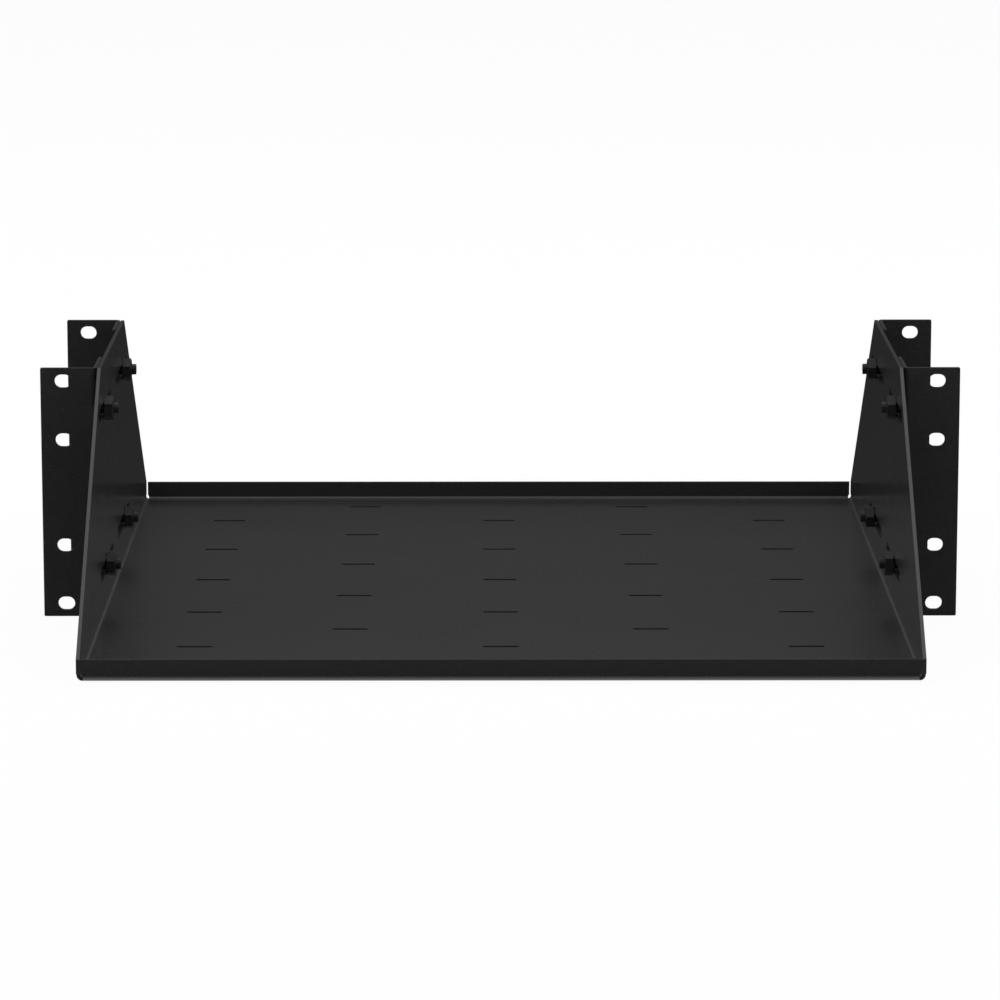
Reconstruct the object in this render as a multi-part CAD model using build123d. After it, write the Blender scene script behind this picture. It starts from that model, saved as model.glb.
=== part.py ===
from build123d import *
import os
from math import cos, pi, radians, tan

# Rack shelf for a 19 inch rack: a pan folded from one steel sheet with two sloped side walls,
# carried by four L brackets that shift along slots in the walls and are clamped by screws.
# Millimetres. +X is the shelf's width, +Y runs from its front to its rear, +Z is up.
# The origin is at the middle of the pan, level with the bottom edges of the brackets.

# Sheet steel and its bends
sheet = 1.9
bend_inside = 1.2
bend_outside = bend_inside + sheet

# Rack-hole pattern of an ear
hole_span = 465.1
hole_step_short = 31.75
hole_step_long = 57.15
hole_length = 9.0
hole_height = 7.15

# Brackets
hole_to_wall = 18.4
hole_to_ear_side = 12.05
hole_to_ear_end = 7.1
ear_corner_radius = 0.8
ears_apart = 169.0
flange_depth = 36.5
flange_gap = 0.35

# Shelf pan
pan_depth = 484.2
pan_lift = 0.9
pan_front_to_ear = 160.5
lip_height = 11.55
front_lip_gap = 0.25
rear_lip_gap = 0.85
lip_foot_gap = 0.25
wall_bend_setback = 2.6
relief_width = 0.8
relief_run = 0.6
relief_rise = 0.9

# Ventilation slots in the pan's floor
vent_length = 19.2
vent_width = 3.2
vent_columns = 5
vent_rows = 5
vent_column_pitch = 79.375
vent_row_pitch = 84.667

# Clamping screws, their nuts and the slots in the walls that they slide in
screw_to_bracket_end = 24.75
rear_top_screw_drop = 0.5
screw_setback = 19.05
screw_diameter = 6.0
screw_length = 11.8
screw_tip_chamfer = 0.6
screw_hole_clearance = 0.3
head_diameter = 12.5
head_height = 3.9
head_rounding = 2.4
recess_span = 6.6
recess_width = 1.5
recess_depth = 2.2
slot_clearance = 0.5
slot_length = 82.55
front_slot_setback = 22.0
rear_slot_setback = 29.4
nut_flats = 11.4
nut_height = 5.0
nut_bevel_angle = 30
nut_washer_ratio = 0.96
nut_thread_clearance = 0.1
nut_facet_rise = {
    ("front", "left", "upper"): 57.7,
    ("front", "left", "lower"): 52.5,
    ("front", "right", "upper"): 51.4,
    ("front", "right", "lower"): 63.1,
    ("rear", "left", "upper"): 52.5,
    ("rear", "left", "lower"): 49.7,
    ("rear", "right", "upper"): 44.6,
    ("rear", "right", "lower"): 38.5,
}

# Places worked out from the sizes above
hole_steps = (hole_step_short, hole_step_long, hole_step_short)
bracket_height = 2 * hole_to_ear_end + sum(hole_steps)
pan_width = hole_span - 2 * hole_to_wall
wall_outside = pan_width / 2
wall_inside = wall_outside - sheet
wall_height = bracket_height - pan_lift
flange_inside = wall_outside + flange_gap
flange_outside = flange_inside + sheet
front_ear_face = pan_front_to_ear - pan_depth / 2
rear_ear_face = front_ear_face + ears_apart
wall_top_rear = rear_ear_face - sheet
top_row = bracket_height - screw_to_bracket_end
screw_rows = {
    "front": {"upper": top_row, "lower": screw_to_bracket_end},
    "rear": {"upper": top_row - rear_top_screw_drop, "lower": screw_to_bracket_end},
}
screw_stations = {
    "front": front_ear_face + screw_setback,
    "rear": rear_ear_face - screw_setback,
}
slot_centres = {
    "front": front_ear_face + front_slot_setback,
    "rear": rear_ear_face - rear_slot_setback,
}
side_signs = {"left": -1, "right": 1}


def folded_strip(leg_x, leg_y, length):
    """An L of sheet along +Z with its true bend: legs on +X and +Y, outer corner at the origin."""
    low = (Align.MIN, Align.MIN)
    ring = Circle(bend_outside) - Circle(bend_inside)
    section = Pos(bend_outside, bend_outside) * ring
    section &= Rectangle(bend_outside, bend_outside, align=low)
    if leg_x > bend_outside:
        section += Pos(bend_outside, 0) * Rectangle(leg_x - bend_outside, sheet, align=low)
    if leg_y > bend_outside:
        section += Pos(0, bend_outside) * Rectangle(sheet, leg_y - bend_outside, align=low)
    return extrude(section, length)


def slot_cutter(plane, length, height):
    """A round-ended slot on a plane, deep enough to cut through the sheet from both sides."""
    return extrude(plane * SlotOverall(length, height), 2 * sheet, both=True)


def side_wall():
    """The left side wall with its bend, which stops short of the lips; slots for the screws."""
    half = pan_depth / 2
    bend_half = half - wall_bend_setback
    bend_top = bend_outside + relief_rise
    outline = Plane.YZ * Polyline(
        (-bend_half, 0),
        (bend_half, 0),
        (bend_half, bend_top),
        (half, bend_top),
        (half, lip_height),
        (wall_top_rear, wall_height),
        (front_ear_face, wall_height),
        (-half, lip_height),
        (-half, bend_top),
        (-bend_half, bend_top),
        (-bend_half, 0),
    )
    corner = Plane((-wall_outside, half, 0), x_dir=(1, 0, 0), z_dir=(0, -1, 0))
    wall = corner * folded_strip(bend_outside, wall_height, pan_depth)
    wall &= extrude(make_face(outline), pan_width, both=True)
    cutter = slot_cutter(Plane.YZ, slot_length, screw_diameter + 2 * slot_clearance)
    for end, centre in slot_centres.items():
        for row in screw_rows[end].values():
            wall -= Pos(-wall_inside, centre, row - pan_lift) * cutter
    return wall


def front_lip(gap):
    """A folded edge across the front, its ends relieved beside the walls' bends."""
    top_half = wall_inside - gap
    foot_half = wall_outside - bend_outside - lip_foot_gap
    flare_height = bend_outside + top_half - foot_half
    corner = Plane((-top_half, -pan_depth / 2, 0), x_dir=(0, 1, 0), z_dir=(1, 0, 0))
    strip = corner * folded_strip(bend_outside, lip_height, 2 * top_half)
    outline = Plane.XZ * Polyline(
        (-foot_half, 0),
        (foot_half, 0),
        (foot_half, bend_outside),
        (top_half, flare_height),
        (top_half, lip_height),
        (-top_half, lip_height),
        (-top_half, flare_height),
        (-foot_half, bend_outside),
        (-foot_half, 0),
    )
    return strip & extrude(make_face(outline), pan_depth, both=True)


def pan_floor():
    """The flat floor between the bends, notched at the corners and slotted for air."""
    length = pan_depth - 2 * bend_outside
    width = pan_width - 2 * bend_outside
    floor = Box(width, length, sheet, align=(Align.CENTER, Align.CENTER, Align.MIN))
    notch = Box(2 * relief_width, 2 * relief_run, 4 * sheet)
    for corner in GridLocations(width, length, 2, 2):
        floor -= corner * notch
    vent = slot_cutter(Plane.XY, vent_length, vent_width)
    for column in range(vent_columns):
        x = (column - (vent_columns - 1) / 2) * vent_column_pitch
        stagger = (column % 2) * vent_row_pitch / 2
        for row in range(vent_rows):
            y = (row - (vent_rows - 1) / 2) * vent_row_pitch + stagger
            floor -= Pos(x, y, 0) * vent
    return floor


def shelf_pan():
    """Floor, two side walls and two lips, folded from one sheet."""
    wall = side_wall()
    pan = pan_floor() + wall + mirror(wall, about=Plane.YZ)
    pan = pan + front_lip(front_lip_gap) + mirror(front_lip(rear_lip_gap), about=Plane.XZ)
    return Pos(0, 0, pan_lift) * pan


def bracket(end, side):
    """An L bracket: a rack ear with four slots and a flange that lies outside the wall."""
    ear_width = hole_to_wall - flange_gap + hole_to_ear_side
    part = folded_strip(ear_width, flange_depth, bracket_height)
    tips = part.edges().filter_by(Axis.Y).group_by(Axis.X)[-1]
    part = fillet(tips, ear_corner_radius)
    hole = slot_cutter(Plane.XZ, hole_length, hole_height)
    for count in range(len(hole_steps) + 1):
        row = hole_to_ear_end + sum(hole_steps[:count])
        part -= Pos(hole_to_wall - flange_gap, 0, row) * hole
    bore = Cylinder(screw_diameter / 2 + screw_hole_clearance, 4 * sheet)
    for row in screw_rows[end].values():
        part -= Pos(0, screw_setback, row) * Rot(0, 90, 0) * bore
    part = Pos(flange_inside, 0, 0) * part
    if side == "left":
        part = mirror(part, about=Plane.YZ)
    if end == "rear":
        part = mirror(part, about=Plane.XZ)
        return Pos(0, rear_ear_face, 0) * part
    return Pos(0, front_ear_face, 0) * part


def machine_screw():
    """A pan-head screw with a cross recess along +X, the seat of its head at the origin."""
    upwards = (Align.CENTER, Align.CENTER, Align.MIN)
    downwards = (Align.CENTER, Align.CENTER, Align.MAX)
    head = Cylinder(head_diameter / 2, head_height, align=downwards)
    head = fillet(head.edges().filter_by(GeomType.CIRCLE).sort_by(Axis.Z)[0], head_rounding)
    for turn in (0, 90):
        slot = Box(recess_span, recess_width, 2 * recess_depth)
        head -= Pos(0, 0, -head_height) * Rot(0, 0, turn) * slot
    shank = Cylinder(screw_diameter / 2, screw_length, align=upwards)
    shank = chamfer(shank.edges().filter_by(GeomType.CIRCLE).sort_by(Axis.Z)[-1], screw_tip_chamfer)
    return Rot(0, 90, 0) * (head + shank)


def hex_nut(facet_rise):
    """A nut along +X, seat at the origin, bevelled on both faces, one facet at a given rise."""
    rim = nut_flats / 2 / cos(pi / 6)
    land = nut_washer_ratio * nut_flats / 2
    bevel = (rim - land) * tan(radians(nut_bevel_angle))
    blank = Polyline(
        (0, 0),
        (0, land),
        (bevel, rim),
        (nut_height - bevel, rim),
        (nut_height, land),
        (nut_height, 0),
        (0, 0),
    )
    body = revolve(make_face(blank), Axis.X)
    flats = extrude(Plane.YZ * RegularPolygon(nut_flats / 2, 6, major_radius=False), nut_height)
    body &= Rot(30 - facet_rise, 0, 0) * flats
    bore = Cylinder(screw_diameter / 2 + nut_thread_clearance, 4 * nut_height)
    return body - Rot(0, 90, 0) * bore


def clamped(piece, end, side, level, distance):
    """Puts a fastener made along +X at its station, pointing into the shelf."""
    if side == "right":
        piece = mirror(piece, about=Plane.YZ)
    height = screw_rows[end][level]
    return Pos(side_signs[side] * distance, screw_stations[end], height) * piece


def build():
    """Every piece of the shelf by its node's name."""
    pieces = {"shelf_pan": shelf_pan()}
    for end in screw_stations:
        for side in side_signs:
            pieces[f"{end}_{side}_bracket"] = bracket(end, side)
    for end, side, level in nut_facet_rise:
        name = f"{end}_{side}_{level}"
        nut = hex_nut(nut_facet_rise[end, side, level])
        pieces[name + "_screw"] = clamped(machine_screw(), end, side, level, flange_outside)
        pieces[name + "_nut"] = clamped(nut, end, side, level, wall_inside)
    return pieces


os.makedirs("parts", exist_ok=True)
for node, piece in build().items():
    export_step(piece, f"parts/{node}.step")
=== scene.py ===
"""Looks for the rack shelf: black powder coat on the folded steel, black oxide on the threaded
fasteners, a pale studio and a camera at the photograph's angle. All lengths are in metres."""

import logging
import math
from dataclasses import dataclass, field
from enum import Enum

import bpy
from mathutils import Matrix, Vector

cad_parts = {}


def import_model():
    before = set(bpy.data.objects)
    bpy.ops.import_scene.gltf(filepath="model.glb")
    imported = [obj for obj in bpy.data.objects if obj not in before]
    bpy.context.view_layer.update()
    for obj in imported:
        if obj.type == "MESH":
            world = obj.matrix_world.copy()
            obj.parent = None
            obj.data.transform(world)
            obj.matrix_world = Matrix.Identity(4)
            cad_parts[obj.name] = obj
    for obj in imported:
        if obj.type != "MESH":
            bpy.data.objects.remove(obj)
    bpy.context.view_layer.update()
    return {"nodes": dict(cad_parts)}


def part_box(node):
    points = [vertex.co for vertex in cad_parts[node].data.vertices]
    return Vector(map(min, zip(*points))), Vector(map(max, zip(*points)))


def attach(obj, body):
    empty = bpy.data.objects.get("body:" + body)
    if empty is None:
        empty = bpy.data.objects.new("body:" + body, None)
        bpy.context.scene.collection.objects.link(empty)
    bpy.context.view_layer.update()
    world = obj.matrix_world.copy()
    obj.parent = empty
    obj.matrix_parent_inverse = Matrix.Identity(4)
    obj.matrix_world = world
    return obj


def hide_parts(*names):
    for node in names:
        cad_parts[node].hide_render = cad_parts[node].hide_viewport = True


LOG = logging.getLogger("rack_shelf")
MILLIMETRE = 0.001
BODY = "root"
PAN = "shelf_pan"
WHITE = (1.0, 1.0, 1.0, 1.0)
NOISE_MIDDLE = (0.3, 0.7)
BOARD_STEP = (180, -160)
BOARD_ROWS = 5


class Slot(Enum):
    """The record's material slots."""

    POWDER_COAT = "powder_coat"
    FASTENER = "fastener"


class Side(Enum):
    """A side of the shelf, with the way its screws point along X."""

    LEFT = 1
    RIGHT = -1


class NodeBoard:
    """Adds nodes to one tree and joins them up, so that a tree reads from top to bottom."""

    def __init__(self, tree: bpy.types.NodeTree) -> None:
        """Starts on an empty tree.

        Args:
            tree: the node tree to fill.
        """
        self.tree = tree
        self.tree.nodes.clear()
        self.count = 0

    def add(self, kind: str, **settings: object) -> bpy.types.Node:
        """Adds one node.

        Args:
            kind: the node's type name.
            settings: the node's own properties.

        Returns:
            The new node.
        """
        node = self.tree.nodes.new(kind)
        across, down = BOARD_STEP
        node.location = (self.count * across, (self.count % BOARD_ROWS) * down)
        self.count += 1
        for name, value in settings.items():
            setattr(node, name, value)
        return node

    def feed(self, socket: bpy.types.NodeSocket, value: object) -> None:
        """Links a socket to another one, or sets its value.

        Args:
            socket: the input to fill.
            value: an output socket, or a plain value.
        """
        if isinstance(value, bpy.types.NodeSocket):
            self.tree.links.new(value, socket)
        else:
            socket.default_value = value

    def math(self, operation: str, first: object, second: object = 0.0) -> bpy.types.NodeSocket:
        """Works out a number from two others.

        Args:
            operation: the Math node's operation.
            first: the first number or socket.
            second: the second number or socket, unused by one-sided operations.

        Returns:
            The result's socket.
        """
        node = self.add("ShaderNodeMath", operation=operation)
        self.feed(node.inputs[0], first)
        self.feed(node.inputs[1], second)
        return node.outputs[0]

    def vector_math(
        self, operation: str, first: bpy.types.NodeSocket, second: bpy.types.NodeSocket
    ) -> bpy.types.bpy_prop_collection:
        """Works out a vector or a number from two vectors.

        Args:
            operation: the Vector Math node's operation.
            first: the first vector's socket.
            second: the second vector's socket.

        Returns:
            The node's outputs, Vector and Value.
        """
        node = self.add("ShaderNodeVectorMath", operation=operation)
        self.feed(node.inputs[0], first)
        self.feed(node.inputs[1], second)
        return node.outputs

    def apart(self, vector: bpy.types.NodeSocket) -> bpy.types.bpy_prop_collection:
        """Takes a vector apart.

        Args:
            vector: the vector's socket.

        Returns:
            The outputs X, Y and Z.
        """
        node = self.add("ShaderNodeSeparateXYZ")
        self.feed(node.inputs[0], vector)
        return node.outputs

    def noise(self, place: bpy.types.NodeSocket, scale: float, detail: float) -> bpy.types.NodeSocket:
        """Adds a noise texture.

        Args:
            place: where the texture is read.
            scale: how many features fit in a metre.
            detail: how many finer layers are added.

        Returns:
            The noise value's socket, from 0 to 1.
        """
        node = self.add("ShaderNodeTexNoise")
        self.feed(node.inputs["Vector"], place)
        node.inputs["Scale"].default_value = scale
        node.inputs["Detail"].default_value = detail
        return node.outputs[0]

    def spread(self, value: bpy.types.NodeSocket, low: float, high: float) -> bpy.types.NodeSocket:
        """Spreads the middle part of a noise value over a range.

        Args:
            value: the noise value.
            low: the result at the noise's low end.
            high: the result at its high end.

        Returns:
            The result's socket.
        """
        node = self.add("ShaderNodeMapRange")
        self.feed(node.inputs["Value"], value)
        node.inputs["From Min"].default_value, node.inputs["From Max"].default_value = NOISE_MIDDLE
        node.inputs["To Min"].default_value = low
        node.inputs["To Max"].default_value = high
        return node.outputs[0]

    def blend(self, share: object, first: object, second: object) -> bpy.types.NodeSocket:
        """Mixes two colours.

        Args:
            share: how much of the second colour is taken.
            first: the first colour, as numbers or a socket.
            second: the second colour, as numbers or a socket.

        Returns:
            The mixed colour's socket.
        """
        node = self.add("ShaderNodeMix", data_type="RGBA", clamp_factor=True)
        self.feed(node.inputs["Factor"], share)
        inputs = [socket for socket in node.inputs if socket.type == "RGBA"]
        for socket, colour in zip(inputs, (first, second)):
            self.feed(socket, (*colour, 1.0) if isinstance(colour, tuple) else colour)
        return next(socket for socket in node.outputs if socket.type == "RGBA")

    def bump(
        self,
        height: bpy.types.NodeSocket,
        distance: float,
        normal: bpy.types.NodeSocket | None = None,
    ) -> bpy.types.NodeSocket:
        """Roughens a surface.

        Args:
            height: the relief, from 0 to 1.
            distance: how high the relief's 1 stands.
            normal: the normal that it starts from, or None for the surface's own.

        Returns:
            The roughened normal's socket.
        """
        node = self.add("ShaderNodeBump")
        node.inputs["Distance"].default_value = distance
        self.feed(node.inputs["Height"], height)
        if normal is not None:
            self.feed(node.inputs["Normal"], normal)
        return node.outputs[0]

    def mix_shaders(
        self, share: object, first: bpy.types.NodeSocket, second: bpy.types.NodeSocket
    ) -> bpy.types.NodeSocket:
        """Mixes two shaders.

        Args:
            share: how much of the second shader is taken.
            first: the first shader's socket.
            second: the second shader's socket.

        Returns:
            The mixed shader's socket.
        """
        node = self.add("ShaderNodeMixShader")
        for socket, value in zip(node.inputs, (share, first, second)):
            self.feed(socket, value)
        return node.outputs[0]

    def show(self, shader: bpy.types.NodeSocket, kind: str = "ShaderNodeOutputMaterial") -> None:
        """Ends the tree in its output.

        Args:
            shader: the shader's socket.
            kind: the output node's type name.
        """
        self.feed(self.add(kind).inputs["Surface"], shader)


def new_material(name: str) -> tuple[bpy.types.Material, NodeBoard]:
    """Makes an empty node material.

    Args:
        name: the material's name.

    Returns:
        The material and the board for its tree.
    """
    material = bpy.data.materials.new(name)
    material.use_nodes = True
    return material, NodeBoard(material.node_tree)


@dataclass(frozen=True)
class PowderCoat:
    """Black powder coat: a rough, flecked base under a satin skin, over softly rounded edges.

    It is paler along its edges, partly from uneven wear and partly from a painted highlight, and
    along the bends, where a painted highlight stands in for the light that the folds catch.
    """

    colour: tuple[float, float, float] = (0.016, 0.016, 0.0164)
    fleck_colour: tuple[float, float, float] = (0.025, 0.025, 0.0256)
    # Edge colour: partly worn coat, partly a painted highlight on the edges.
    edge_wear_and_highlight_colour: tuple[float, float, float] = (0.0225, 0.0225, 0.023)
    # Painted highlight on the bends, standing in for the light that the folds catch.
    painted_bend_highlight_colour: tuple[float, float, float] = (0.06, 0.06, 0.061)
    roughness: float = 0.28
    roughness_drift: float = 0.012
    specular: float = 0.5
    skin: float = 1.0
    skin_roughness: float = 0.2
    grain: float = 1.0 * MILLIMETRE
    grain_height: float = 0.006 * MILLIMETRE
    ripple: float = 6.0 * MILLIMETRE
    ripple_height: float = 0.006 * MILLIMETRE
    drift: float = 60 * MILLIMETRE
    edge_radius: float = 0.4 * MILLIMETRE
    edge_samples: int = 6
    floor_margin: float = 6.0 * MILLIMETRE
    # Size and strength of the unevenness in the edge wear and painted edge highlight.
    edge_wear_and_highlight_per_metre: float = 900.0
    edge_wear_and_highlight_strength: tuple[float, float] = (1.0, 3.0)

    def material(self) -> bpy.types.Material:
        """Builds the coat.

        Returns:
            The material.
        """
        material, board = new_material("textured_black_powder_coat")
        read = board.add("ShaderNodeTexCoord").outputs
        place = read["Object"]
        rounded = board.add("ShaderNodeBevel", samples=self.edge_samples)
        board.feed(rounded.inputs["Radius"], self._edge_radius(board, place))
        soft = rounded.outputs[0]
        ripples = board.noise(place, 1 / self.ripple, 1.0)
        rippled = board.bump(ripples, self.ripple_height, soft)
        grains = board.noise(place, 1 / self.grain, 1.0)
        drifts = board.noise(place, 1 / self.drift, 2.0)
        low, high = self.roughness - self.roughness_drift, self.roughness + self.roughness_drift
        flecked = board.blend(board.spread(grains, 0.0, 1.0), self.colour, self.fleck_colour)
        # Edges are lightened: partly uneven wear, partly a painted highlight where light would catch
        # them.
        edge_worn_and_highlit = board.blend(self._edge_wear_and_highlight(board, place, soft), flecked, self.edge_wear_and_highlight_colour)
        # Painted highlight along the bends between the walls and the floor, where light would catch
        # the folds.
        colour = board.blend(self._painted_bend_highlight(board, read["Normal"]), edge_worn_and_highlit, self.painted_bend_highlight_colour)
        shader = board.add("ShaderNodeBsdfPrincipled")
        shader.inputs["Specular IOR Level"].default_value = self.specular
        shader.inputs["Coat Weight"].default_value = self.skin
        shader.inputs["Coat Roughness"].default_value = self.skin_roughness
        board.feed(shader.inputs["Base Color"], colour)
        board.feed(shader.inputs["Roughness"], board.spread(drifts, low, high))
        board.feed(shader.inputs["Coat Normal"], rippled)
        board.feed(shader.inputs["Normal"], board.bump(grains, self.grain_height, rippled))
        board.show(shader.outputs[0])
        return material

    def _edge_radius(self, board: NodeBoard, place: bpy.types.NodeSocket) -> bpy.types.NodeSocket:
        """Rounds every edge but those of the punched air slots in the pan's floor.

        Args:
            board: the material's board.
            place: the object coordinates.

        Returns:
            The radius's socket.
        """
        low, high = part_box(PAN)
        apart = board.apart(place)
        wide = board.math("ABSOLUTE", apart["X"])
        deep = board.math("ABSOLUTE", apart["Y"])
        beside = board.math("GREATER_THAN", wide, high.x - self.floor_margin)
        beyond = board.math("GREATER_THAN", deep, high.y - self.floor_margin)
        above = board.math("GREATER_THAN", apart["Z"], low.z + self.floor_margin)
        off_floor = board.math("MAXIMUM", board.math("MAXIMUM", beside, beyond), above)
        return board.math("MULTIPLY", off_floor, self.edge_radius)

    def _edge_wear_and_highlight(
        self, board: NodeBoard, place: bpy.types.NodeSocket, soft: bpy.types.NodeSocket
    ) -> bpy.types.NodeSocket:
        """Finds the rounded edges, where the coat is worn unevenly and a painted highlight stands in
        for the light that the edges catch.

        Args:
            board: the material's board.
            place: the object coordinates.
            soft: the rounded edges' normal.

        Returns:
            The socket of the share of edge wear and painted edge highlight.
        """
        flat = board.add("ShaderNodeNewGeometry").outputs["Normal"]
        facing = board.vector_math("DOT_PRODUCT", flat, soft)["Value"]
        uneven = board.spread(board.noise(place, self.edge_wear_and_highlight_per_metre, 2.0), *self.edge_wear_and_highlight_strength)
        return board.math("MULTIPLY", board.math("SUBTRACT", 1.0, facing), uneven)

    def _painted_bend_highlight(self, board: NodeBoard, normal: bpy.types.NodeSocket) -> bpy.types.NodeSocket:
        """Finds the bends along the side walls, which face both sideways and up or down, for a
        painted highlight that stands in for the light that the bends catch.

        Args:
            board: the material's board.
            normal: the surface's normal in the object's axes.

        Returns:
            The socket of the painted highlight's share: 1 where the surface leans by half a right
            angle.
        """
        apart = board.apart(normal)
        across = board.math("MULTIPLY", apart["X"], apart["Z"])
        return board.math("MULTIPLY", board.math("ABSOLUTE", across), 2.0)


@dataclass(frozen=True)
class BlackOxide:
    """Oiled black oxide on steel fasteners, a little uneven from handling."""

    colour: tuple[float, float, float] = (0.026, 0.026, 0.027)
    handled_colour: tuple[float, float, float] = (0.03, 0.03, 0.031)
    metallic: float = 0.25
    specular: float = 0.35
    roughness: float = 0.27
    roughness_drift: float = 0.03
    patch: float = 3 * MILLIMETRE
    scratch_height: float = 0.006 * MILLIMETRE
    scratch: float = 0.3 * MILLIMETRE

    def material(self) -> bpy.types.Material:
        """Builds the finish.

        Returns:
            The material.
        """
        material, board = new_material("black_oxide_steel")
        place = board.add("ShaderNodeTexCoord").outputs["Object"]
        patches = board.noise(place, 1 / self.patch, 2.0)
        scratches = board.noise(place, 1 / self.scratch, 2.0)
        share = board.spread(patches, 0.0, 1.0)
        low, high = self.roughness - self.roughness_drift, self.roughness + self.roughness_drift
        shader = board.add("ShaderNodeBsdfPrincipled")
        shader.inputs["Metallic"].default_value = self.metallic
        shader.inputs["Specular IOR Level"].default_value = self.specular
        board.feed(shader.inputs["Base Color"], board.blend(share, self.colour, self.handled_colour))
        board.feed(shader.inputs["Roughness"], board.spread(patches, low, high))
        board.feed(shader.inputs["Normal"], board.bump(scratches, self.scratch_height))
        board.show(shader.outputs[0])
        return material


@dataclass
class FoldedSteel:
    """The pan and its four brackets: their shape is the CAD's, the coat is put on here."""

    nodes: dict[str, bpy.types.Object]
    coat: PowderCoat = field(default_factory=PowderCoat)

    def dress(self) -> None:
        """Coats the pan and the brackets."""
        coat = self.coat.material()
        for name, node in self.nodes.items():
            if name == PAN or name.endswith("_bracket"):
                dress(node, coat)
                LOG.info("%s: coated", name)


@dataclass
class Fasteners:
    """Screws with a shallow thread, and the nuts that clamp them."""

    nodes: dict[str, bpy.types.Object]
    oxide: BlackOxide = field(default_factory=BlackOxide)
    pitch: float = 1.27 * MILLIMETRE
    thread_depth: float = 0.07 * MILLIMETRE
    tip_taper: float = 0.7 * MILLIMETRE
    tip_sink: float = 1.15
    rows_per_turn: int = 10
    fewest_rows: int = 8
    points_round: int = 40
    tip_reach: float = 2 * MILLIMETRE
    flange_reach: float = 8 * MILLIMETRE
    head_margin: float = 0.2 * MILLIMETRE
    closing_margin: float = 0.01 * MILLIMETRE
    weld: float = 0.001 * MILLIMETRE

    def build(self) -> None:
        """Dresses the nuts and builds every screw."""
        finish = self.oxide.material()
        tree = self._thread_tree()
        for name in sorted(self.nodes):
            if name.endswith("_nut"):
                dress(self.nodes[name], finish)
                LOG.info("%s: finished", name)
            elif name.endswith("_screw"):
                screw = self._screw(name, tree, finish)
                LOG.info("%s: %d faces", screw.name, len(screw.data.polygons))

    def _screw(
        self, name: str, tree: bpy.types.NodeTree, finish: bpy.types.Material
    ) -> bpy.types.Object:
        """Builds one screw: the CAD's head, with a thread in place of its plain shank.

        Args:
            name: the CAD node that the screw stands for.
            tree: the node group that cuts the thread.
            finish: the screw's material.

        Returns:
            The finished piece.
        """
        threaded = name.replace("_screw", "_threaded_screw")
        piece = bpy.data.objects.new(threaded, self.nodes[name].data.copy())
        bpy.context.scene.collection.objects.link(piece)
        modifier = piece.modifiers.new("thread", "NODES")
        modifier.node_group = tree
        set_inputs(modifier, tree, {**self._thread_sizes(name), "Finish": finish})
        made_plain(piece)
        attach(piece, BODY)
        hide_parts(name)
        return piece

    def _thread_sizes(self, name: str) -> dict[str, object]:
        """Works out where one screw's thread runs and how thick it is.

        Args:
            name: the screw's CAD node.

        Returns:
            The node group's input names with their values.
        """
        side = Side.LEFT if "_left_" in name else Side.RIGHT
        low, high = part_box(name)
        tip = (low + high) / 2
        tip.x = high.x if side is Side.LEFT else low.x
        seat = self._seat(name, side)
        length = abs(tip.x - seat)
        radius = self._shank_radius(name, tip)
        return {
            "Seat": (seat, tip.y, tip.z),
            "Direction": float(side.value),
            "Length": length,
            "Crest Radius": radius,
            "Root Radius": radius - self.thread_depth,
            "Pitch": self.pitch,
            "Tip Taper": self.tip_taper,
            "Rows": max(self.fewest_rows, round(length / self.pitch * self.rows_per_turn)),
            "Points Round": self.points_round,
        }

    def _seat(self, name: str, side: Side) -> float:
        """Finds where a screw's head meets the outer face of its bracket's flange.

        Args:
            name: the screw's CAD node.
            side: the side of the shelf that it is on.

        Returns:
            The seat's X.
        """
        bracket = "_".join(name.split("_")[:2]) + "_bracket"
        low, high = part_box(bracket)
        middle = (low.y + high.y) / 2
        flange = [
            vertex.co.x
            for vertex in self.nodes[bracket].data.vertices
            if abs(vertex.co.y - middle) < self.flange_reach
        ]
        return min(flange) if side is Side.LEFT else max(flange)

    def _shank_radius(self, name: str, tip: Vector) -> float:
        """Measures a CAD screw's shank where its tip's chamfer starts.

        Args:
            name: the screw's CAD node.
            tip: the middle of its tip.

        Returns:
            The shank's radius.
        """
        return max(
            math.hypot(vertex.co.y - tip.y, vertex.co.z - tip.z)
            for vertex in self.nodes[name].data.vertices
            if abs(vertex.co.x - tip.x) < self.tip_reach
        )

    def _thread_tree(self) -> bpy.types.NodeTree:
        """Builds the node group that swaps a plain shank for a threaded one.

        Returns:
            The node group.
        """
        tree = bpy.data.node_groups.new("threaded_shank", "GeometryNodeTree")
        sockets = {
            "Geometry": "NodeSocketGeometry",
            "Seat": "NodeSocketVector",
            "Direction": "NodeSocketFloat",
            "Length": "NodeSocketFloat",
            "Crest Radius": "NodeSocketFloat",
            "Root Radius": "NodeSocketFloat",
            "Pitch": "NodeSocketFloat",
            "Tip Taper": "NodeSocketFloat",
            "Rows": "NodeSocketInt",
            "Points Round": "NodeSocketInt",
            "Finish": "NodeSocketMaterial",
        }
        for name, kind in sockets.items():
            tree.interface.new_socket(name, in_out="INPUT", socket_type=kind)
        tree.interface.new_socket("Geometry", in_out="OUTPUT", socket_type="NodeSocketGeometry")
        board = NodeBoard(tree)
        given = board.add("NodeGroupInput").outputs
        joined = board.add("GeometryNodeJoinGeometry")
        board.feed(joined.inputs[0], self._thread_skin(board, given))
        board.feed(joined.inputs[0], self._head_only(board, given))
        real = board.add("GeometryNodeRealizeInstances")
        board.feed(real.inputs["Geometry"], joined.outputs[0])
        painted = board.add("GeometryNodeSetMaterial")
        board.feed(painted.inputs["Geometry"], real.outputs[0])
        board.feed(painted.inputs["Material"], given["Finish"])
        output = board.add("NodeGroupOutput")
        board.feed(output.inputs[0], painted.outputs[0])
        return tree

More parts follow.
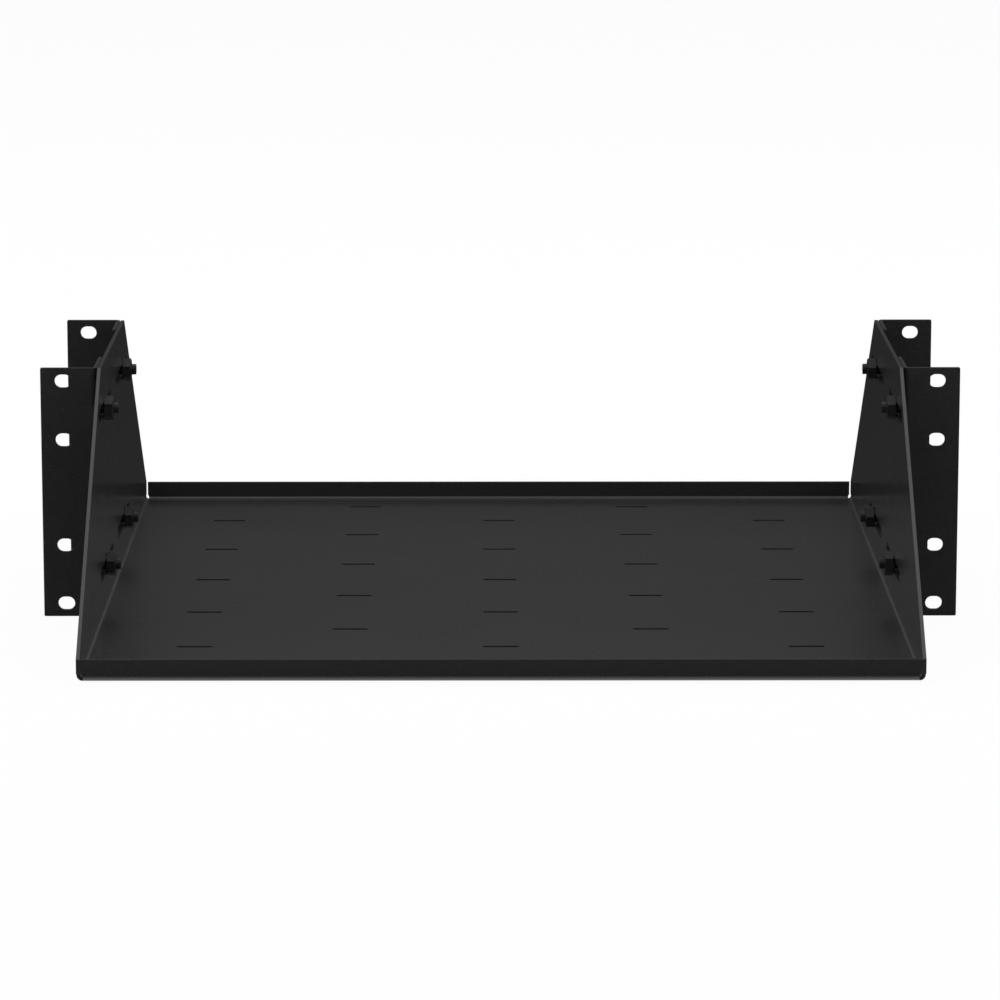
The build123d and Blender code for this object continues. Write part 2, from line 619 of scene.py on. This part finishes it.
    def _head_only(
        self, board: NodeBoard, given: bpy.types.bpy_prop_collection
    ) -> bpy.types.NodeSocket:
        """Drops the plain shank from the CAD's screw.

        Args:
            board: the group's board.
            given: the group's inputs.

        Returns:
            The head's geometry socket.
        """
        place = board.add("GeometryNodeInputPosition").outputs[0]
        offset = board.vector_math("SUBTRACT", place, given["Seat"])["Vector"]
        along = board.math("MULTIPLY", board.apart(offset)["X"], given["Direction"])
        shank = board.math("GREATER_THAN", along, self.head_margin)
        kept = board.add("GeometryNodeDeleteGeometry", domain="POINT")
        board.feed(kept.inputs["Geometry"], given["Geometry"])
        board.feed(kept.inputs["Selection"], shank)
        return kept.outputs[0]

    def _thread_skin(
        self, board: NodeBoard, given: bpy.types.bpy_prop_collection
    ) -> bpy.types.NodeSocket:
        """Wraps a grid into a helical thread with a closed, tapered tip.

        Args:
            board: the group's board.
            given: the group's inputs.

        Returns:
            The thread's geometry socket.
        """
        grid = board.add("GeometryNodeMeshGrid")
        board.feed(grid.inputs["Vertices X"], given["Rows"])
        board.feed(grid.inputs["Vertices Y"], given["Points Round"])
        place = board.apart(board.add("GeometryNodeInputPosition").outputs[0])
        turn = board.math("ADD", place["Y"], 0.5)
        reach = self._reach(board, given, board.math("ADD", place["X"], 0.5))
        along = board.math("MINIMUM", reach, given["Length"])
        inside = board.math(
            "LESS_THAN", reach, board.math("ADD", given["Length"], self.closing_margin)
        )
        radius = board.math("MULTIPLY", self._radius(board, given, turn, along), inside)
        angle = board.math("MULTIPLY", turn, 2 * math.pi)
        local = board.add("ShaderNodeCombineXYZ")
        board.feed(local.inputs["X"], board.math("MULTIPLY", along, given["Direction"]))
        board.feed(local.inputs["Y"], board.math("MULTIPLY", radius, board.math("COSINE", angle)))
        board.feed(local.inputs["Z"], board.math("MULTIPLY", radius, board.math("SINE", angle)))
        wrapped = board.add("GeometryNodeSetPosition")
        board.feed(wrapped.inputs["Geometry"], grid.outputs["Mesh"])
        board.feed(
            wrapped.inputs["Position"],
            board.vector_math("ADD", local.outputs[0], given["Seat"])["Vector"],
        )
        turned = board.add("GeometryNodeFlipFaces")
        board.feed(turned.inputs["Mesh"], wrapped.outputs[0])
        board.feed(turned.inputs["Selection"], board.math("GREATER_THAN", given["Direction"], 0.0))
        welded = board.add("GeometryNodeMergeByDistance")
        board.feed(welded.inputs["Geometry"], turned.outputs[0])
        welded.inputs["Distance"].default_value = self.weld
        return welded.outputs[0]

    def _reach(
        self,
        board: NodeBoard,
        given: bpy.types.bpy_prop_collection,
        share: bpy.types.NodeSocket,
    ) -> bpy.types.NodeSocket:
        """Spaces the grid's rows along the shank, the last but one of them at the tip.

        Args:
            board: the group's board.
            given: the group's inputs.
            share: how far along the grid a row lies, from 0 to 1.

        Returns:
            The socket of the row's reach, past the tip for the row that closes it.
        """
        stretch = board.math(
            "DIVIDE",
            board.math("SUBTRACT", given["Rows"], 1.0),
            board.math("SUBTRACT", given["Rows"], 2.0),
        )
        return board.math("MULTIPLY", board.math("MULTIPLY", share, stretch), given["Length"])

    def _radius(
        self,
        board: NodeBoard,
        given: bpy.types.bpy_prop_collection,
        turn: bpy.types.NodeSocket,
        along: bpy.types.NodeSocket,
    ) -> bpy.types.NodeSocket:
        """Shapes the thread: a ridge that climbs with the turns, cut down to a cone at the tip.

        Args:
            board: the group's board.
            given: the group's inputs.
            turn: how far round the shank a point lies, from 0 to 1.
            along: how far from the seat it lies.

        Returns:
            The radius's socket.
        """
        depth = board.math("SUBTRACT", given["Crest Radius"], given["Root Radius"])
        turns = board.math("SUBTRACT", board.math("DIVIDE", along, given["Pitch"]), turn)
        wave = board.math("PINGPONG", board.math("MULTIPLY", turns, 2.0), 1.0)
        ridge = board.math("ADD", board.math("MULTIPLY", wave, depth), given["Root Radius"])
        to_tip = board.math("SUBTRACT", given["Length"], along)
        whole = board.math("DIVIDE", to_tip, given["Tip Taper"])
        lack = board.math("MAXIMUM", board.math("SUBTRACT", 1.0, whole), 0.0)
        sink = board.math("MULTIPLY", lack, board.math("MULTIPLY", depth, self.tip_sink))
        cone = board.math("SUBTRACT", given["Crest Radius"], sink)
        return board.math("MINIMUM", ridge, cone)


def dress(node: bpy.types.Object, material: bpy.types.Material) -> None:
    """Gives a CAD node its finish.

    Args:
        node: the CAD node.
        material: its material.
    """
    node.data.materials.clear()
    node.data.materials.append(material)


def set_inputs(
    modifier: bpy.types.NodesModifier, tree: bpy.types.NodeTree, values: dict[str, object]
) -> None:
    """Sets a node group's inputs on a modifier, by their identifiers.

    Args:
        modifier: the modifier.
        tree: its node group.
        values: input name to value.
    """
    for item in tree.interface.items_tree:
        if item.item_type == "SOCKET" and item.in_out == "INPUT" and item.name in values:
            modifier[item.identifier] = values[item.name]


def made_plain(piece: bpy.types.Object) -> None:
    """Turns a piece's evaluated shape into its own mesh and drops its modifiers.

    Args:
        piece: the piece.
    """
    bpy.context.view_layer.update()
    evaluated = piece.evaluated_get(bpy.context.evaluated_depsgraph_get())
    mesh = bpy.data.meshes.new_from_object(evaluated)
    piece.modifiers.clear()
    piece.data = mesh


@dataclass
class Studio:
    """A pale floor, a white surround and large soft lamps.

    The camera sees the surround as white. The coat mirrors a dimmer studio, as it does in the
    photograph: mostly dark, with a faint pale strip at the horizon, a panel higher up, and
    bright panels overhead and below. Each of its levels goes with the height of the ray that
    meets it, from -1 straight down to 1 straight up.
    """

    floor_size: float = 30.0
    floor_drop: float = 0.2 * MILLIMETRE
    floor_colour: float = 0.75
    white_share: float = 0.96
    ambient: float = 0.45
    mirrored: tuple[tuple[float, float], ...] = (
        (-1.0, 0.7),
        (-0.85, 0.7),
        (-0.65, 0.36),
        (-0.4, 0.06),
        (-0.17, 0.02),
        (-0.11, 0.02),
        (-0.05, 0.11),
        (0.08, 0.11),
        (0.14, 0.018),
        (0.27, 0.018),
        (0.38, 0.25),
        (0.58, 0.25),
        (0.85, 0.7),
        (1.0, 0.7),
    )
    lamps: tuple[tuple[str, tuple[float, float, float], float, float], ...] = (
        ("overhead", (0.0, 0.9, 1.9), 2.2, 30.0),
        ("side_left", (-2.2, -0.2, 1.5), 1.4, 22.0),
        ("side_right", (2.2, -0.2, 1.5), 1.4, 22.0),
    )

    def build(self) -> None:
        """Builds the floor, the surround and the lamps."""
        self._floor()
        self._surround()
        for name, place, size, power in self.lamps:
            self._lamp(name, Vector(place), size, power)
            LOG.info("%s lamp: %.0f W", name, power)

    def _floor(self) -> None:
        """Lays the pale floor under the shelf; mirrored rays look through it to the surround."""
        half = self.floor_size / 2
        corners = [(-half, -half), (half, -half), (half, half), (-half, half)]
        mesh = bpy.data.meshes.new("pale_floor")
        mesh.from_pydata([(x, y, -self.floor_drop) for x, y in corners], [], [(0, 1, 2, 3)])
        floor = bpy.data.objects.new("pale_floor", mesh)
        bpy.context.scene.collection.objects.link(floor)
        material, board = new_material("pale_floor")
        plain = board.add("ShaderNodeBsdfDiffuse")
        plain.inputs["Color"].default_value = (*[self.floor_colour] * 3, 1.0)
        white = board.add("ShaderNodeEmission")
        clear = board.add("ShaderNodeBsdfTransparent")
        seen, glossy = self._rays(board)
        whitened = board.math("MULTIPLY", seen, self.white_share)
        lit = board.mix_shaders(whitened, plain.outputs[0], white.outputs[0])
        board.show(board.mix_shaders(glossy, lit, clear.outputs[0]))
        mesh.materials.append(material)
        LOG.info("pale floor: %.0f m across", self.floor_size)

    def _surround(self) -> None:
        """Builds the surround: white to the camera, a soft fill, and what the coat mirrors."""
        world = bpy.data.worlds.new("studio")
        world.use_nodes = True
        bpy.context.scene.world = world
        board = NodeBoard(world.node_tree)
        fill = board.add("ShaderNodeBackground")
        fill.inputs["Color"].default_value = WHITE
        fill.inputs["Strength"].default_value = self.ambient
        white = board.add("ShaderNodeBackground")
        white.inputs["Color"].default_value = WHITE
        mirrored = board.add("ShaderNodeBackground")
        board.feed(mirrored.inputs["Color"], self._gradient(board))
        seen, glossy = self._rays(board)
        unseen = board.mix_shaders(glossy, fill.outputs[0], mirrored.outputs[0])
        board.show(board.mix_shaders(seen, unseen, white.outputs[0]), "ShaderNodeOutputWorld")

    def _rays(self, board: NodeBoard) -> tuple[bpy.types.NodeSocket, bpy.types.NodeSocket]:
        """Tells the rays apart.

        Args:
            board: the board of the floor or the surround.

        Returns:
            The socket for rays that show white, and the one for mirrored rays.
        """
        path = board.add("ShaderNodeLightPath").outputs
        seen = board.math("MAXIMUM", path["Is Camera Ray"], path["Is Transmission Ray"])
        return seen, path["Is Glossy Ray"]

    def _gradient(self, board: NodeBoard) -> bpy.types.NodeSocket:
        """Shades the mirrored surround by height.

        Args:
            board: the world's board.

        Returns:
            The gradient's colour socket.
        """
        rise = board.apart(board.add("ShaderNodeTexCoord").outputs["Generated"])["Z"]
        ramp = board.add("ShaderNodeValToRGB")
        board.feed(ramp.inputs[0], board.math("MULTIPLY", board.math("ADD", rise, 1.0), 0.5))
        stops = ramp.color_ramp.elements
        while len(stops) < len(self.mirrored):
            stops.new(0.5)
        for stop, (height, level) in zip(stops, self.mirrored):
            stop.position = (height + 1) / 2
            stop.color = (level, level, level, 1.0)
        return ramp.outputs[0]

    def _lamp(self, name: str, place: Vector, size: float, power: float) -> None:
        """Hangs one soft lamp, aimed at the shelf and left out of what the coat mirrors.

        Args:
            name: the lamp's name.
            place: where it hangs.
            size: the side of its square.
            power: its power in watts.
        """
        data = bpy.data.lights.new(name, "AREA")
        data.size = size
        data.energy = power
        lamp = bpy.data.objects.new(name, data)
        lamp.visible_glossy = False
        lamp.location = place
        lamp.rotation_euler = (-place).to_track_quat("-Z", "Y").to_euler()
        bpy.context.scene.collection.objects.link(lamp)


@dataclass
class PhotoCamera:
    """The camera that took the photograph, found from the rack-hole pattern."""

    place: tuple[float, float, float] = (-0.00766, -2.583, 0.5442)
    pitch_down: float = 0.18993
    turn_right: float = 0.003
    focal_length: float = 171.622
    sensor: float = 36.0
    nearest: float = 0.1
    farthest: float = 100.0

    def build(self) -> None:
        """Sets up the scene's camera."""
        data = bpy.data.cameras.new("photo_camera")
        data.lens = self.focal_length
        data.sensor_width = self.sensor
        data.clip_start, data.clip_end = self.nearest, self.farthest
        camera = bpy.data.objects.new("photo_camera", data)
        camera.location = self.place
        camera.rotation_euler = (math.pi / 2 - self.pitch_down, 0.0, -self.turn_right)
        bpy.context.scene.collection.objects.link(camera)
        bpy.context.scene.camera = camera
        LOG.info("camera: %.1f mm lens", self.focal_length)


def main() -> None:
    """Builds the dressed shelf and its studio."""
    logging.basicConfig(level=logging.INFO, format="%(message)s")
    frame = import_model()
    FoldedSteel(frame["nodes"]).dress()
    Fasteners(frame["nodes"]).build()
    Studio().build()
    PhotoCamera().build()
    bpy.context.scene.view_settings.view_transform = "Standard"


if __name__ == "__main__":
    main()
